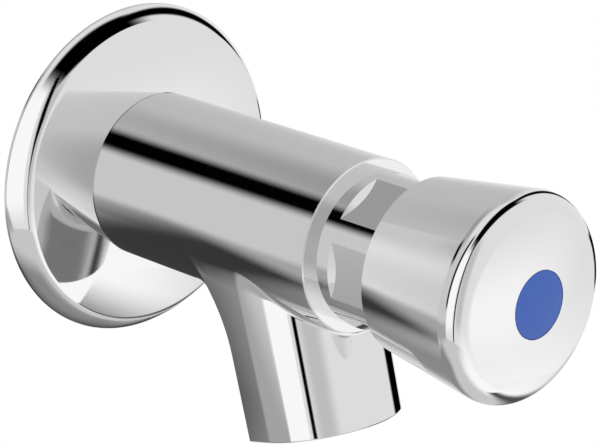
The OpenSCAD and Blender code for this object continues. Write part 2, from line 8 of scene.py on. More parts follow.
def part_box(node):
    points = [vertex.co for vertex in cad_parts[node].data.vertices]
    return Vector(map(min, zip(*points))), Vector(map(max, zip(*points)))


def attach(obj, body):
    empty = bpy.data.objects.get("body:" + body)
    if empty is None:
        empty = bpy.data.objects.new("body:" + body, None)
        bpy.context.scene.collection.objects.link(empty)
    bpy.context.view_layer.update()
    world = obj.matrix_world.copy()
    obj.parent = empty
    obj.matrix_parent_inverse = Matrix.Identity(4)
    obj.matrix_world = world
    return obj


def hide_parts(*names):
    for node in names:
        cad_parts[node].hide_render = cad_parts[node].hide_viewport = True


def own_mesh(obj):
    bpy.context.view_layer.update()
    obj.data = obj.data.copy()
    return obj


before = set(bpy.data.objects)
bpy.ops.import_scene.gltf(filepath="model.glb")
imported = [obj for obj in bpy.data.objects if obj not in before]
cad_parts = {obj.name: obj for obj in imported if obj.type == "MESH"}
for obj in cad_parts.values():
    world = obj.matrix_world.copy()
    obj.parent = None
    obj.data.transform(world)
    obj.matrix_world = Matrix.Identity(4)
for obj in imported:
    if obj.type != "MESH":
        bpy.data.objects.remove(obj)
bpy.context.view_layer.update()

bl_info = {
    "name": "Push timed wall tap",
    "version": (1, 0, 0),
    "blender": (4, 5, 0),
    "location": "3D view > Sidebar > Tap",
    "description": "Dresses the chromed push tap: its pieces, their finishes and the studio round it",
    "category": "Object",
}

# The wall is the plane y = 0, the tap stands out towards -Y and +Z is up.
# A distance named s runs along the barrel's axis, out from the wall, and t runs down the spout's axis.
MM = 0.001
WELD = 1e-7


def length(words, value_mm, note):
    """A size that a user would change, in millimetres here and in metres in the scene."""
    return bpy.props.FloatProperty(
        name=words, description=note, default=value_mm * MM, min=0.0, precision=5,
        unit="LENGTH", subtype="DISTANCE",
    )


def lean(words, value_deg, note):
    """An angle that a user would change, in degrees here and in radians in the scene."""
    return bpy.props.FloatProperty(
        name=words, description=note, default=math.radians(value_deg), unit="ROTATION", subtype="ANGLE",
    )


def linear(hex_colour):
    """An sRGB hex colour as linear red, green, blue and alpha."""
    channels = [int(hex_colour[i:i + 2], 16) / 255 for i in (1, 3, 5)]
    return tuple(c / 12.92 if c <= 0.04045 else ((c + 0.055) / 1.055) ** 2.4 for c in channels) + (1.0,)


def colour(words, hex_colour, note):
    """A colour that a user would change."""
    return bpy.props.FloatVectorProperty(
        name=words, description=note, default=linear(hex_colour), size=4, min=0.0, max=1.0, subtype="COLOR"
    )


class TapSizes(bpy.types.PropertyGroup):
    """Sizes of the visible pieces."""

    flange_d: length("Flange diameter", 70.5, "Across the wall flange")
    flange_h: length("Flange height", 7.0, "From the wall to the seat of the barrel")
    flange_lean: lean("Flange lean", 35.0, "Lean of the flange's skirt towards the barrel")
    flange_skirt: length("Flange skirt", 4.75, "From the flange's foot up its skirt to the rim")
    flange_rim_r: length("Flange rim", 2.0, "Rounding between the flange's skirt and face")
    barrel_d: length("Barrel diameter", 35.0, "Across the barrel")
    barrel_len: length("Barrel length", 61.8, "From the flange to the front face")
    edge_bevel: length("Edge bevel", 0.25, "Bevel of the barrel's edges and of the spout's lip")
    spout_s: length("Spout place", 46.1, "From the wall to where the spout's axis leaves the barrel's axis")
    spout_tilt: lean("Spout lean", 15.6, "Lean of the spout towards the front")
    spout_root_d: length("Spout root diameter", 32.6, "Across the spout at the barrel's axis")
    spout_tip_d: length("Spout mouth diameter", 31.4, "Across the spout at its lip")
    spout_len: length("Spout length", 42.0, "From the barrel's axis to the lip")
    spout_back: length("Flat sides", 5.6, "Reach of the spout's flat sides behind its axis, at the mouth")
    spout_flare: length("Flat sides' flare", 9.4, "How much farther those sides reach at the barrel's axis")
    flare_len: length("Flare length", 24.0, "How far down the spout that flare runs")
    spout_bulge: length("Back bulge", 8.0, "Bulge of the spout's back between its two rear edges")
    thread_d: length("Thread diameter", 20.955, "Outside of the half inch pipe thread")
    thread_len: length("Thread length", 15.0, "Length of the tail behind the wall plane")
    neck_d: length("Neck diameter", 31.0, "Across the neck's round collar")
    neck_flats: length("Neck flats", 28.9, "Across the neck's spanner flats")
    neck_len: length("Neck length", 24.1, "From the barrel's face to the end of the neck")
    collar_len: length("Collar length", 4.6, "From the barrel's face to the shoulders of the flats")
    shoulder_len: length("Shoulder length", 1.2, "Length of the sloped shoulder at the end of each flat")
    button_gap: length("Button gap", 15.0, "From the barrel's face to the back of the button")
    button_len: length("Button length", 28.9, "From the button's back to its crown")
    button_back_d: length("Button back diameter", 34.8, "Across the button's back edge")
    button_front_d: length("Button front diameter", 42.7, "Across the button's cone, run on to the crown")
    button_rim_r: length("Button rim", 4.4, "Rounding of the button's rim")
    dome_r: length("Dome radius", 92.0, "Radius of the button's domed face")
    disc_d: length("Disc diameter", 13.2, "Across the blue disc")


class TapColours(bpy.types.PropertyGroup):
    """Colours of the finishes and of the studio."""

    chrome: colour("Chrome", "#dcdcdc", "Chromium plate")
    brass: colour("Brass", "#c9a452", "Bare turned brass")
    steel: colour("Stainless steel", "#b9bcbe", "Turned stainless steel and spring wire")
    acetal: colour("Acetal", "#e9e7e0", "White moulded plastic")
    rubber: colour("Rubber", "#232426", "Black moulded rubber")
    foam: colour("Foam", "#1b1b1d", "Closed cell foam")
    blue: colour("Blue disc", "#1a57ba", "Gloss plastic of the index disc")
    floor: colour("Floor", "#f4f4f4", "Pale studio floor")


# Meshes from exact outlines


class Patchwork:
    """Grids of points, each with its exact normal, that are sewn into one mesh."""

    def __init__(self):
        self.points = []
        self.normals = []
        self.quads = []
        self.skins = []
        self.count = 0

    def add(self, points, normals, skin=0):
        """Adds a grid of points, rows by columns, with their normals and the number of their finish."""
        rows, columns = points.shape[:2]
        index = self.count + np.arange(rows * columns).reshape(rows, columns)
        corners = [index[:-1, :-1], index[:-1, 1:], index[1:, 1:], index[1:, :-1]]
        quads = np.stack(corners, axis=-1).reshape(-1, 4)
        self.points.append(points.reshape(-1, 3))
        self.normals.append(np.broadcast_to(normals, points.shape).reshape(-1, 3))
        self.quads.append(quads)
        self.skins += [skin] * len(quads)
        self.count += rows * columns

    def build(self, name, materials):
        """Welds the grids, turns every face outwards and makes the object."""
        points = np.concatenate(self.points)
        normals = np.concatenate(self.normals)
        quads = np.concatenate(self.quads)
        _, first, place = np.unique(
            np.round(points / WELD).astype(np.int64), axis=0, return_index=True, return_inverse=True
        )
        place = place.reshape(-1)
        corner = points[quads]
        across = np.cross(corner[:, 2] - corner[:, 0], corner[:, 3] - corner[:, 1])
        outward = (across * normals[quads].sum(axis=1)).sum(axis=1) >= 0
        faces, skins, loops = [], [], []
        for quad, right_way, skin in zip(quads, outward, self.skins):
            face = {}
            for index in quad if right_way else quad[::-1]:
                face.setdefault(int(place[index]), normals[index])
            if len(face) > 2:
                faces.append(list(face))
                skins.append(skin)
                loops.extend(face.values())
        mesh = bpy.data.meshes.new(name)
        mesh.from_pydata(points[first].tolist(), [], faces)
        for material in materials:
            mesh.materials.append(material)
        mesh.polygons.foreach_set("material_index", skins)
        mesh.polygons.foreach_set("use_smooth", [True] * len(faces))
        mesh.normals_split_custom_set([tuple(n) for n in loops])
        piece = bpy.data.objects.new(name, mesh)
        bpy.context.scene.collection.objects.link(piece)
        return piece


class Axis:
    """An axis that outlines are turned round: along it, and the two directions across it."""

    def __init__(self, root, along, across, side):
        self.root = np.array(root, float)
        self.along = np.array(along, float)
        self.across = np.array(across, float)
        self.side = np.array(side, float)

    def spin(self, turn):
        """Unit vectors straight out from the axis, at the turns given."""
        turn = np.asarray(turn)[..., None]
        return np.cos(turn) * self.across + np.sin(turn) * self.side

    def at(self, along, out, turn):
        """Points at a distance along the axis, out from it and turned round it."""
        return self.root + self.facing(along, out, turn)

    def facing(self, along, out, turn):
        """Directions with a part along the axis and a part out from it."""
        return np.asarray(along)[..., None] * self.along + np.asarray(out)[..., None] * self.spin(turn)


BARREL = Axis((0, 0, 0), (0, -1, 0), (1, 0, 0), (0, 0, 1))


def spout_axis(size):
    """The spout's axis, with the front of the spout at turn 0."""
    tilt = size.spout_tilt
    return Axis(
        (0, -size.spout_s, 0), (0, -math.sin(tilt), -math.cos(tilt)),
        (0, -math.cos(tilt), math.sin(tilt)), (1, 0, 0),
    )


def straight(start, end, steps=1):
    """A straight run of an outline, with its normal to the left of the way it goes."""
    start, end = np.array(start, float), np.array(end, float)
    way = (end - start) / np.linalg.norm(end - start)
    share = np.linspace(0, 1, steps + 1)[:, None]
    return start + share * (end - start), np.tile((-way[1], way[0]), (steps + 1, 1))


def arc(middle, radius, start, end, steps):
    """A round run of an outline between two angles; a run that turns clockwise bulges outwards."""
    angle = np.radians(np.linspace(start, end, steps + 1))
    out = np.stack([np.cos(angle), np.sin(angle)], axis=1)
    return np.array(middle, float) + radius * out, out if end < start else -out


def outline(corners, closed=True):
    """Runs of an outline through corners (along, out, rounding); a rounding of 0 leaves a crisp edge."""
    count = len(corners)
    points = [np.array(c[:2], float) for c in corners]
    enter, leave, rounds = list(points), list(points), [None] * count
    for i in range(count):
        rounding = corners[i][2] if len(corners[i]) > 2 else 0
        if rounding == 0:
            continue
        back = points[i - 1] - points[i]
        on = points[(i + 1) % count] - points[i]
        back, on = back / np.linalg.norm(back), on / np.linalg.norm(on)
        half = math.acos(np.clip(back @ on, -1, 1)) / 2
        enter[i] = points[i] + back * rounding / math.tan(half)
        leave[i] = points[i] + on * rounding / math.tan(half)
        middle = points[i] + (back + on) / np.linalg.norm(back + on) * rounding / math.sin(half)
        first = math.degrees(math.atan2(*(enter[i] - middle)[::-1]))
        last = math.degrees(math.atan2(*(leave[i] - middle)[::-1]))
        rounds[i] = arc(middle, rounding, first, first + (last - first + 180) % 360 - 180, 6)
    runs = []
    for i in range(count):
        if rounds[i]:
            runs.append(rounds[i])
        if closed or i < count - 1:
            ahead = (i + 1) % count
            if np.linalg.norm(enter[ahead] - leave[i]) > WELD:
                runs.append(straight(leave[i], enter[ahead]))
    return runs


def turn_runs(patch, axis, runs, turns, skin=0):
    """Turns each run of an outline round the axis."""
    for points, normals in runs:
        patch.add(
            axis.at(points[:, None, 0], points[:, None, 1], turns[None, :]),
            axis.facing(normals[:, None, 0], normals[:, None, 1], turns[None, :]),
            skin,
        )


def grid_normals(points, outwards):
    """Normals of a grid from its own neighbours, on the side that the guide directions point to."""
    cross = np.cross(np.gradient(points, axis=0), np.gradient(points, axis=1))
    cross /= np.maximum(np.linalg.norm(cross, axis=-1, keepdims=True), 1e-12)
    side = np.sign((cross * outwards).sum(axis=-1, keepdims=True))
    return cross * np.where(side == 0, 1, side)


FULL_TURN = np.linspace(-math.pi, math.pi, 193)


# Finishes


def add_node(tree, kind, settings=None, **inputs):
    """Adds a node with its settings; an input is a value, or an output of another node to link."""
    node = tree.nodes.new(kind)
    for key, value in (settings or {}).items():
        setattr(node, key, value)
    for key, value in inputs.items():
        socket = node.inputs[int(key[1:]) if key[1:].isdigit() else key.replace("_", " ")]
        if isinstance(value, bpy.types.NodeSocket):
            tree.links.new(value, socket)
        else:
            socket.default_value = value
    return node


def new_material(name, **inputs):
    """A material with only its shader and output, returned with its node tree and shader."""
    material = bpy.data.materials.new(name)
    material.use_nodes = True
    tree = material.node_tree
    tree.nodes.clear()
    shader = add_node(tree, "ShaderNodeBsdfPrincipled", None, **inputs)
    add_node(tree, "ShaderNodeOutputMaterial", Surface=shader.outputs["BSDF"])
    return material, tree, shader


def tinted(base, share):
    """A darker or lighter share of a colour."""
    return [min(1.0, c * share) for c in base[:3]] + [1.0]


def roughen(tree, shader, size_mm, low, high, depth_mm=0.0):
    """Lets the roughness, and the height if a depth is given, wander over patches of a real size."""
    place = add_node(tree, "ShaderNodeTexCoord")
    noise = add_node(
        tree, "ShaderNodeTexNoise", Vector=place.outputs["Object"], Scale=1000 / size_mm, Detail=3.0
    )
    ranged = add_node(
        tree, "ShaderNodeMapRange", None, Value=noise.outputs["Fac"],
        From_Min=0.3, From_Max=0.7, To_Min=low, To_Max=high,
    )
    tree.links.new(ranged.outputs["Result"], shader.inputs["Roughness"])
    if depth_mm > 0:
        bump = add_node(
            tree, "ShaderNodeBump", None, Height=noise.outputs["Fac"], Strength=1.0, Distance=depth_mm * MM
        )
        tree.links.new(bump.outputs["Normal"], shader.inputs["Normal"])
    return noise


def cut_rings(tree, shader, apart_mm, wander, depth_mm):
    """Raises the rings that a turning tool leaves round the barrel's axis."""
    place = add_node(tree, "ShaderNodeTexCoord")
    rings = add_node(
        tree, "ShaderNodeTexWave", {"wave_type": "BANDS", "bands_direction": "Y"},
        Vector=place.outputs["Object"], Scale=1000 / apart_mm / 20, Distortion=wander, Detail=1.0,
    )
    bump = add_node(
        tree, "ShaderNodeBump", None, Height=rings.outputs["Fac"], Strength=1.0, Distance=depth_mm * MM
    )
    tree.links.new(bump.outputs["Normal"], shader.inputs["Normal"])


def polished_chrome(colours):
    """Chromium plate over polished brass: a clear mirror with the faintest haze from wiping."""
    material, tree, shader = new_material("polished_chrome_plate", Base_Color=colours.chrome, Metallic=1.0)
    roughen(tree, shader, 9.0, 0.02, 0.05)
    return material


def turned_brass(colours):
    """Brass straight from the lathe: warm yellow, with fine tool rings that spread the light."""
    material, tree, shader = new_material("turned_brass", Base_Color=colours.brass, Metallic=1.0)
    roughen(tree, shader, 3.0, 0.24, 0.4)
    # Tool rings are 0.1 mm apart in truth, drawn at 0.4 mm so that they show
    cut_rings(tree, shader, 0.4, 0.4, 0.008)
    return material


def turned_stainless(colours):
    """Stainless steel, turned: cool grey, satin, with fine rings round the axis."""
    material, tree, shader = new_material("turned_stainless_steel", Base_Color=colours.steel, Metallic=1.0)
    roughen(tree, shader, 2.5, 0.2, 0.34)
    # Tool rings are 0.08 mm apart in truth, drawn at 0.35 mm so that they show
    cut_rings(tree, shader, 0.35, 0.3, 0.005)
    return material


def drawn_wire(colours):
    """Drawn spring wire: bright grey steel with a soft cloudy haze."""
    material, tree, shader = new_material("drawn_spring_wire", Base_Color=colours.steel, Metallic=1.0)
    roughen(tree, shader, 1.2, 0.22, 0.42, 0.01)
    return material


def moulded_acetal(colours):
    """Moulded acetal: milky white plastic with a waxy, even sheen."""
    material, tree, shader = new_material("moulded_acetal", Base_Color=colours.acetal, IOR=1.48)
    roughen(tree, shader, 1.5, 0.34, 0.48, 0.01)
    return material


def moulded_rubber(colours):
    """Moulded rubber: dull black, slightly cloudy from the mould."""
    material, tree, shader = new_material("moulded_rubber", IOR=1.52)
    noise = roughen(tree, shader, 2.0, 0.5, 0.7, 0.02)
    shade = add_node(
        tree, "ShaderNodeMix", {"data_type": "RGBA"},
        _0=noise.outputs["Fac"], _6=tinted(colours.rubber, 0.7), _7=colours.rubber,
    )
    tree.links.new(shade.outputs[2], shader.inputs["Base Color"])
    return material


def cell_foam(colours):
    """Closed cell foam: matt black, with the open skins of cut cells about 0.6 mm across, each painted
    darker towards the bottom of its hollow as painted shade.
    """
    material, tree, shader = new_material("closed_cell_foam", Roughness=0.9)
    place = add_node(tree, "ShaderNodeTexCoord")
    cells = add_node(
        tree, "ShaderNodeTexVoronoi", {"feature": "F1"}, Vector=place.outputs["Object"], Scale=1000 / 0.6
    )
    # Painted shade: the colour follows the cells' bump, darkest at the bottom of each hollow and lightest
    # at its rim
    shade = add_node(
        tree, "ShaderNodeMix", {"data_type": "RGBA"},
        _0=cells.outputs["Distance"], _6=tinted(colours.foam, 0.4), _7=tinted(colours.foam, 1.8),
    )
    tree.links.new(shade.outputs[2], shader.inputs["Base Color"])
    bump = add_node(
        tree, "ShaderNodeBump", None, Height=cells.outputs["Distance"], Strength=1.0, Distance=0.15 * MM
    )
    tree.links.new(bump.outputs["Normal"], shader.inputs["Normal"])
    return material


def gloss_plastic(colours):
    """Gloss moulded plastic: deep even blue under a clear shine."""
    material, tree, shader = new_material("gloss_blue_plastic", IOR=1.49)
    noise = roughen(tree, shader, 4.0, 0.14, 0.22)
    shade = add_node(
        tree, "ShaderNodeMix", {"data_type": "RGBA"},
        _0=noise.outputs["Fac"], _6=tinted(colours.blue, 0.96), _7=tinted(colours.blue, 1.04),
    )
    tree.links.new(shade.outputs[2], shader.inputs["Base Color"])
    return material


MAKERS = {
    "chrome": polished_chrome, "brass": turned_brass, "steel": turned_stainless, "wire": drawn_wire,
    "acetal": moulded_acetal, "rubber": moulded_rubber, "foam": cell_foam, "blue": gloss_plastic,
}
FINISHES = {}


def finish(name):
    """The finish of that name, made at its first use."""
    if name not in FINISHES:
        FINISHES[name] = MAKERS[name](bpy.context.scene.tap_colours)
    return FINISHES[name]


# Pieces


def dress(piece, body, node):
    """Lets a piece ride on its body in place of the solid that it stands for."""
    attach(piece, body)
    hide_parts(node)


def turned_piece(name, look, axis, runs, body, node):
    """A piece turned all round from one outline, dressed with its finish."""
    patch = Patchwork()
    turn_runs(patch, axis, runs, FULL_TURN)
    piece = patch.build(name, [finish(look)])
    dress(piece, body, node)
    return piece


class TAP_OT_body(bpy.types.Operator):
    """Makes the cast body: barrel, spout with its blended root, and threaded tail"""

    bl_idname = "tap.body"
    bl_label = "Cast body"

    # Round the spout from its front: the sides are flat from a right angle on, and end at the rear edges
    FLAT = math.radians(90)
    CORNER = math.radians(130)
    SECTION = np.linspace(-math.pi, math.pi, 289)
    # Round the barrel from its underside, a third as many columns
    ROUND = np.linspace(-math.pi, math.pi, 97) - math.pi / 2
    HEAD_BORE_R = 14.0 * MM
    FILTER_SEAT_R = 8.05 * MM
    SPIGOT_STEP = 0.5 * MM

    def execute(self, context):
        size = context.scene.tap_sizes
        patch = Patchwork()
        face_s = size.flange_h + size.barrel_len
        self.outside(patch, size, face_s)
        self.mouth(patch, size)
        self.bore(patch, size, face_s)
        self.tail(patch, size)
        piece = patch.build("tap_body_casting", [finish("chrome"), finish("brass")])
        dress(piece, "tap_body", "body")
        return {"FINISHED"}

    def section(self, size, t, psi):
        """How far the spout's outside lies in front of its axis and beside it."""
        wide = size.spout_root_d / 2 - self.slope(size) * t
        behind = size.spout_back + size.spout_flare * np.maximum(0, 1 - t / size.flare_len)**2
        bulge = size.spout_bulge
        back_r = (wide**2 + bulge**2) / (2 * bulge)
        turn = np.abs(psi)
        flat = (turn - self.FLAT) / (self.CORNER - self.FLAT)
        swing = np.clip((math.pi - turn) / (math.pi - self.CORNER), 0, 1) * np.arcsin(wide / back_r)
        zones = [turn <= self.FLAT, turn <= self.CORNER]
        bowed = back_r * (1 - np.cos(swing)) - behind - bulge
        front = np.select(zones, [wide * np.cos(turn), -flat * behind], bowed)
        side = np.select(zones, [wide * np.sin(turn), wide + 0 * turn], back_r * np.sin(swing))
        return front, np.sign(psi) * side

    def slope(self, size):
        """How much the spout narrows for each metre down it, on one side."""
        return (size.spout_root_d - size.spout_tip_d) / 2 / size.spout_len

    def on_spout(self, size, t, psi, inset=0.0):
        """Points of the spout's outside, or inside it by a share of its width."""
        axis = spout_axis(size)
        front, side = self.section(size, t, psi)
        keep = 1 - inset
        return (
            axis.root + np.asarray(t)[..., None] * axis.along
            + (keep * front)[..., None] * axis.across + (keep * side)[..., None] * axis.side
        )

    def outside(self, patch, size, face_s):
        """The spout, its blend into the barrel, and the barrel's outside, in one flow of strips."""
        psi = self.SECTION
        axis = spout_axis(size)
        tilt = size.spout_tilt
        radius = size.barrel_d / 2
        slope = self.slope(size)
        turn_deg = np.degrees(np.abs(psi))

        # Where each line down the spout meets the barrel, halving the search each time
        flat = np.clip((np.abs(psi) - self.FLAT) / (self.CORNER - self.FLAT), 0, 1)
        low = -flat * (size.spout_back + size.spout_flare) * math.tan(tilt)
        high = np.full_like(psi, size.spout_len)
        for _ in range(50):
            t = (low + high) / 2
            front, side = self.section(size, t, psi)
            height = front * math.sin(tilt) - t * math.cos(tilt)
            beyond = np.hypot(side, height) > radius
            low, high = np.where(beyond, low, t), np.where(beyond, t, high)
        # By degrees round the spout: the blend's reach down it and over the barrel, and the way it leaves
        stations = [0, 60, 90, 122, 130, 142, 180]
        down = np.interp(turn_deg, stations, np.array([1.0, 1.2, 4.0, 4.0, 3.0, 7.0, 8.0]) * MM)
        over = np.interp(turn_deg, stations, np.array([1.0, 1.0, 0.7, 0.7, 0.6, 5.0, 8.0]) * MM)
        leave = np.sign(psi) * np.radians(np.interp(turn_deg, stations, [0, 60, 90, 90, 105, 140, 180]))
        start_t = t + down
        meet_s = size.spout_s + t * math.sin(tilt) + front * math.cos(tilt)
        end_s = meet_s + over * np.cos(leave)
        end_turn = np.arctan2(side, -height) + over * np.sin(leave) / radius

        def on_barrel(s, turn):
            out = np.stack([np.sin(turn), np.zeros_like(turn), -np.cos(turn)], axis=-1)
            return radius * out + s[..., None] * BARREL.along, out

        # Spout, from the lip up to the blend
        share = np.linspace(0, 1, 17)[:, None]
        lip_t = size.spout_len - size.edge_bevel
        rows_t = lip_t + share * (start_t - lip_t)
        shell = self.on_spout(size, rows_t, psi)
        turns = np.broadcast_to(np.clip(psi, -self.FLAT, self.FLAT), rows_t.shape)
        shell_n = axis.facing(slope + 0 * rows_t, 1 + 0 * rows_t, turns) / math.hypot(1, slope)

        # Blend, along a curve that leaves the spout and joins the barrel without a crease; each of its ends
        # keeps its direction for that share of its reach
        pull = 0.57
        step = 0.01 * MM
        up = self.on_spout(size, start_t - step, psi) - shell[-1]
        up /= np.linalg.norm(up, axis=-1, keepdims=True)
        end, end_n = on_barrel(end_s, end_turn)
        around = np.stack([np.cos(end_turn), np.zeros_like(psi), np.sin(end_turn)], axis=-1)
        away = np.cos(leave)[:, None] * BARREL.along + np.sin(leave)[:, None] * around
        near = shell[-1] + up * (pull * down)[:, None]
        far = end - away * (pull * over)[:, None]
        u = np.linspace(0, 1, 21)[:, None, None]
        curve = (1 - u)**3 * shell[-1] + 3 * u * (1 - u)**2 * near + 3 * u**2 * (1 - u) * far + u**3 * end

        # The rear edges are crisp, so the back's two halves are sewn on as grids of their own
        corner = int(np.argmin(np.abs(psi + self.CORNER)))
        for columns in (slice(0, corner + 1), slice(corner, -corner), slice(-corner - 1, None)):
            strip, rise = shell[:, columns], curve[:, columns]
            is_back = columns != slice(corner, -corner)
            strip_n = grid_normals(strip, -axis.across) if is_back else shell_n[:, columns]
            rise_n = grid_normals(rise, strip_n[-1] + end_n[columns])
            rise_n[0], rise_n[-1] = strip_n[-1], end_n[columns]
            for normals in (strip_n, rise_n) if is_back else ():
                seam = 0 if columns.start == 0 else -1
                normals[:, seam] = self.upright(normals[:, seam])
            patch.add(strip, strip_n)
            patch.add(rise, rise_n)

        # Barrel, from the blend out to its front edge, its top and its rear edge
        front_s, rear_s = face_s - size.edge_bevel, size.flange_h + size.edge_bevel
        sixth = math.pi / 3
        way = np.clip((np.abs(psi) - sixth) / sixth, 0, 1)
        edge_s = front_s + way * (rear_s - front_s)
        from_seam = np.minimum(np.abs(psi), math.pi - np.abs(psi))
        edge_turn = np.sign(psi) * np.clip(from_seam / sixth, 0, 1) * math.pi
        share = np.linspace(0, 1, 41)[:, None]
        rows_s = end_s + share * (edge_s - end_s)
        patch.add(*on_barrel(rows_s, end_turn + share * (edge_turn - end_turn)))

        # Bevels and end faces
        edge_r = radius - size.edge_bevel
        seat_s, spigot_r = size.flange_h, size.thread_d / 2 + self.SPIGOT_STEP
        front = outline([(front_s, radius), (face_s, edge_r), (face_s, self.HEAD_BORE_R)], closed=False)
        rear = outline([(seat_s, spigot_r), (seat_s, edge_r), (rear_s, radius)], closed=False)
        turn_runs(patch, BARREL, front + rear, self.ROUND)

    def upright(self, normals):
        """Normals laid into the tap's plane of symmetry."""
        flat = normals * (0, 1, 1)
        return flat / np.linalg.norm(flat, axis=-1, keepdims=True)

    def mouth(self, patch, size):
        """The lip, the socket of the outlet's pieces and the end of the waterway."""
        axis = spout_axis(size)
        bevel = size.edge_bevel
        socket_r, chamfer, waterway_r = 12.0 * MM, 0.3 * MM, 9.0 * MM
        socket_t, waterway_t = 31.5 * MM, 24.0 * MM
        psi = self.SECTION
        tip = np.full_like(psi, size.spout_len)
        front, side = self.section(size, tip, psi)
        turns = np.unwrap(np.arctan2(side, front))
        outer = self.on_spout(size, tip - bevel, psi)
        lip = self.on_spout(size, tip, psi, 2 * bevel / size.spout_tip_d)
        rim = axis.at(tip, np.full_like(psi, socket_r + chamfer), turns)
        edge = np.stack([outer, lip])
        patch.add(edge, axis.facing(np.ones_like(psi), np.ones_like(psi), turns) / math.sqrt(2))
        patch.add(np.stack([lip, rim]), axis.along)
        corners = [
            (size.spout_len, socket_r + chamfer), (size.spout_len - chamfer, socket_r),
            (socket_t, socket_r), (socket_t, waterway_r), (waterway_t, waterway_r), (waterway_t, 0),
        ]
        turn_runs(patch, axis, outline(corners, closed=False), turns)

    def bore(self, patch, size, face_s):
        """The stepped bore from the front face back to the tail's end."""
        head_s, sleeve_s, chamber_s = face_s - 16.2 * MM, face_s - 40.2 * MM, face_s - 58.05 * MM
        limiter_s, tail_s = 0.3 * MM, -size.thread_len
        filter_s = tail_s + 2.0 * MM
        head_r, sleeve_r, chamber_r = self.HEAD_BORE_R, 12.0 * MM, 9.0 * MM
        throat_r, inlet_r, filter_r = 5.5 * MM, 7.0 * MM, self.FILTER_SEAT_R
        corners = [
            (face_s, head_r), (head_s, head_r), (head_s, sleeve_r), (sleeve_s, sleeve_r),
            (sleeve_s, chamber_r), (chamber_s, chamber_r), (chamber_s, throat_r), (limiter_s, throat_r),
            (limiter_s, inlet_r), (filter_s, inlet_r), (filter_s, filter_r), (tail_s, filter_r),
        ]
        turn_runs(patch, BARREL, outline(corners, closed=False), self.ROUND, skin=1)

    def tail(self, patch, size):
        """The plain spigot and the pipe thread, 14 turns to the inch, cut by a chamfer at its end."""
        turns = self.ROUND
        thread_r = size.thread_d / 2
        spigot_r = thread_r + self.SPIGOT_STEP
        pitch, depth, chamfer = 25.4 * MM / 14, 1.16 * MM, 1.0 * MM
        spigot = outline([(0, thread_r), (0, spigot_r), (size.flange_h, spigot_r)], closed=False)
        turn_runs(patch, BARREL, spigot, turns, skin=1)
        back = np.linspace(0, size.thread_len, 110)[:, None]
        phase = back / pitch - turns[None, :] / (2 * math.pi)
        cut = np.abs((phase % 1) * 2 - 1)
        cut = cut * cut * (3 - 2 * cut)
        runout = np.clip(back / pitch, 0, 1)
        radius = np.minimum(thread_r - depth * cut * runout, thread_r - chamfer + size.thread_len - back)
        turn_grid = np.broadcast_to(turns, radius.shape)
        points = BARREL.at(-back + 0 * radius, radius, turn_grid)
        patch.add(points, grid_normals(points, BARREL.spin(turn_grid)), skin=1)
        mouth = BARREL.at(-size.thread_len + 0 * turns, self.FILTER_SEAT_R + 0 * turns, turns)
        patch.add(np.stack([points[-1], mouth]), -BARREL.along, skin=1)


class TAP_OT_flange(bpy.types.Operator):
    """Turns the wall flange: its rounded rim, sloped face and hollow back"""

    bl_idname = "tap.flange"
    bl_label = "Wall flange"

    GASKET_THICK = 2.0 * MM
    GASKET_WIDE = 5.8 * MM

    def execute(self, context):
        size = context.scene.tap_sizes
        foot_s, foot_wide, side, edge_r, wall = 0.4 * MM, 3.4 * MM, 0.25 * MM, 0.9 * MM, 1.6 * MM
        barrel_play, hub_play = 0.1 * MM, 0.6 * MM
        outer = size.flange_d / 2
        seat = np.array([size.flange_h, size.barrel_d / 2 + barrel_play])
        gasket_r = outer - foot_wide
        inner_s = size.flange_h - wall
        hub_r = size.thread_d / 2 + hub_play
        # The skirt bows a little, the rim turns it over, and the face is a shallow dome up to the seat
        steep = 90 - math.degrees(size.flange_lean)
        bow, face_fall = 7.0, 9.5
        edge = self.bulge(np.array([foot_s + side, outer]), edge_r, 90, steep + bow)
        skirt_r = (size.flange_skirt - edge_r / 2) / (2 * math.sin(math.radians(bow)))
        skirt = self.bulge(edge[0][-1], skirt_r, steep + bow, steep - bow)
        rim = self.bulge(skirt[0][-1], size.flange_rim_r, steep - bow, face_fall)
        reach = seat - rim[0][-1]
        mean_fall = math.degrees(math.atan2(reach[0], -reach[1]))
        dome_r = np.linalg.norm(reach) / (2 * math.sin(math.radians(face_fall - mean_fall)))
        face = self.bulge(rim[0][-1], dome_r, face_fall, 2 * mean_fall - face_fall)
        runs = [straight((foot_s, outer), edge[0][0]), edge, skirt, rim, face]
        runs += outline([
            tuple(seat), (size.flange_h, hub_r), (inner_s, hub_r), (inner_s, seat[1]),
            (self.GASKET_THICK, gasket_r - self.GASKET_WIDE), (self.GASKET_THICK, gasket_r),
            (foot_s, gasket_r), (foot_s, outer),
        ], closed=False)
        piece = turned_piece(
            "wall_flange_rose", "chrome", BARREL, runs, "tap_body", "wall_flange"
        )
        # The barrel mirrors neither flange nor gasket, so that its dark stripe runs on to the flange
        piece.visible_glossy = False
        self.gasket(gasket_r)
        return {"FINISHED"}

    def gasket(self, outer):
        """The foam ring in the flange's foot, with edges rounded by the cut."""
        thick, play, rounding = self.GASKET_THICK, 0.05 * MM, 0.35 * MM
        inner = outer - self.GASKET_WIDE
        runs = outline([
            (0, inner, rounding), (0, outer - play, rounding),
            (thick, outer - play, rounding), (thick, inner, rounding),
        ])
        piece = turned_piece(
            "foam_gasket_ring", "foam", BARREL, runs, "tap_body", "flange_gasket"
        )
        piece.visible_glossy = False

    def bulge(self, start, radius, first, last):
        """An outward arc that starts at a point and turns from one facing to another."""
        facing = np.array([math.cos(math.radians(first)), math.sin(math.radians(first))])
        return arc(start - radius * facing, radius, first, last, 16)


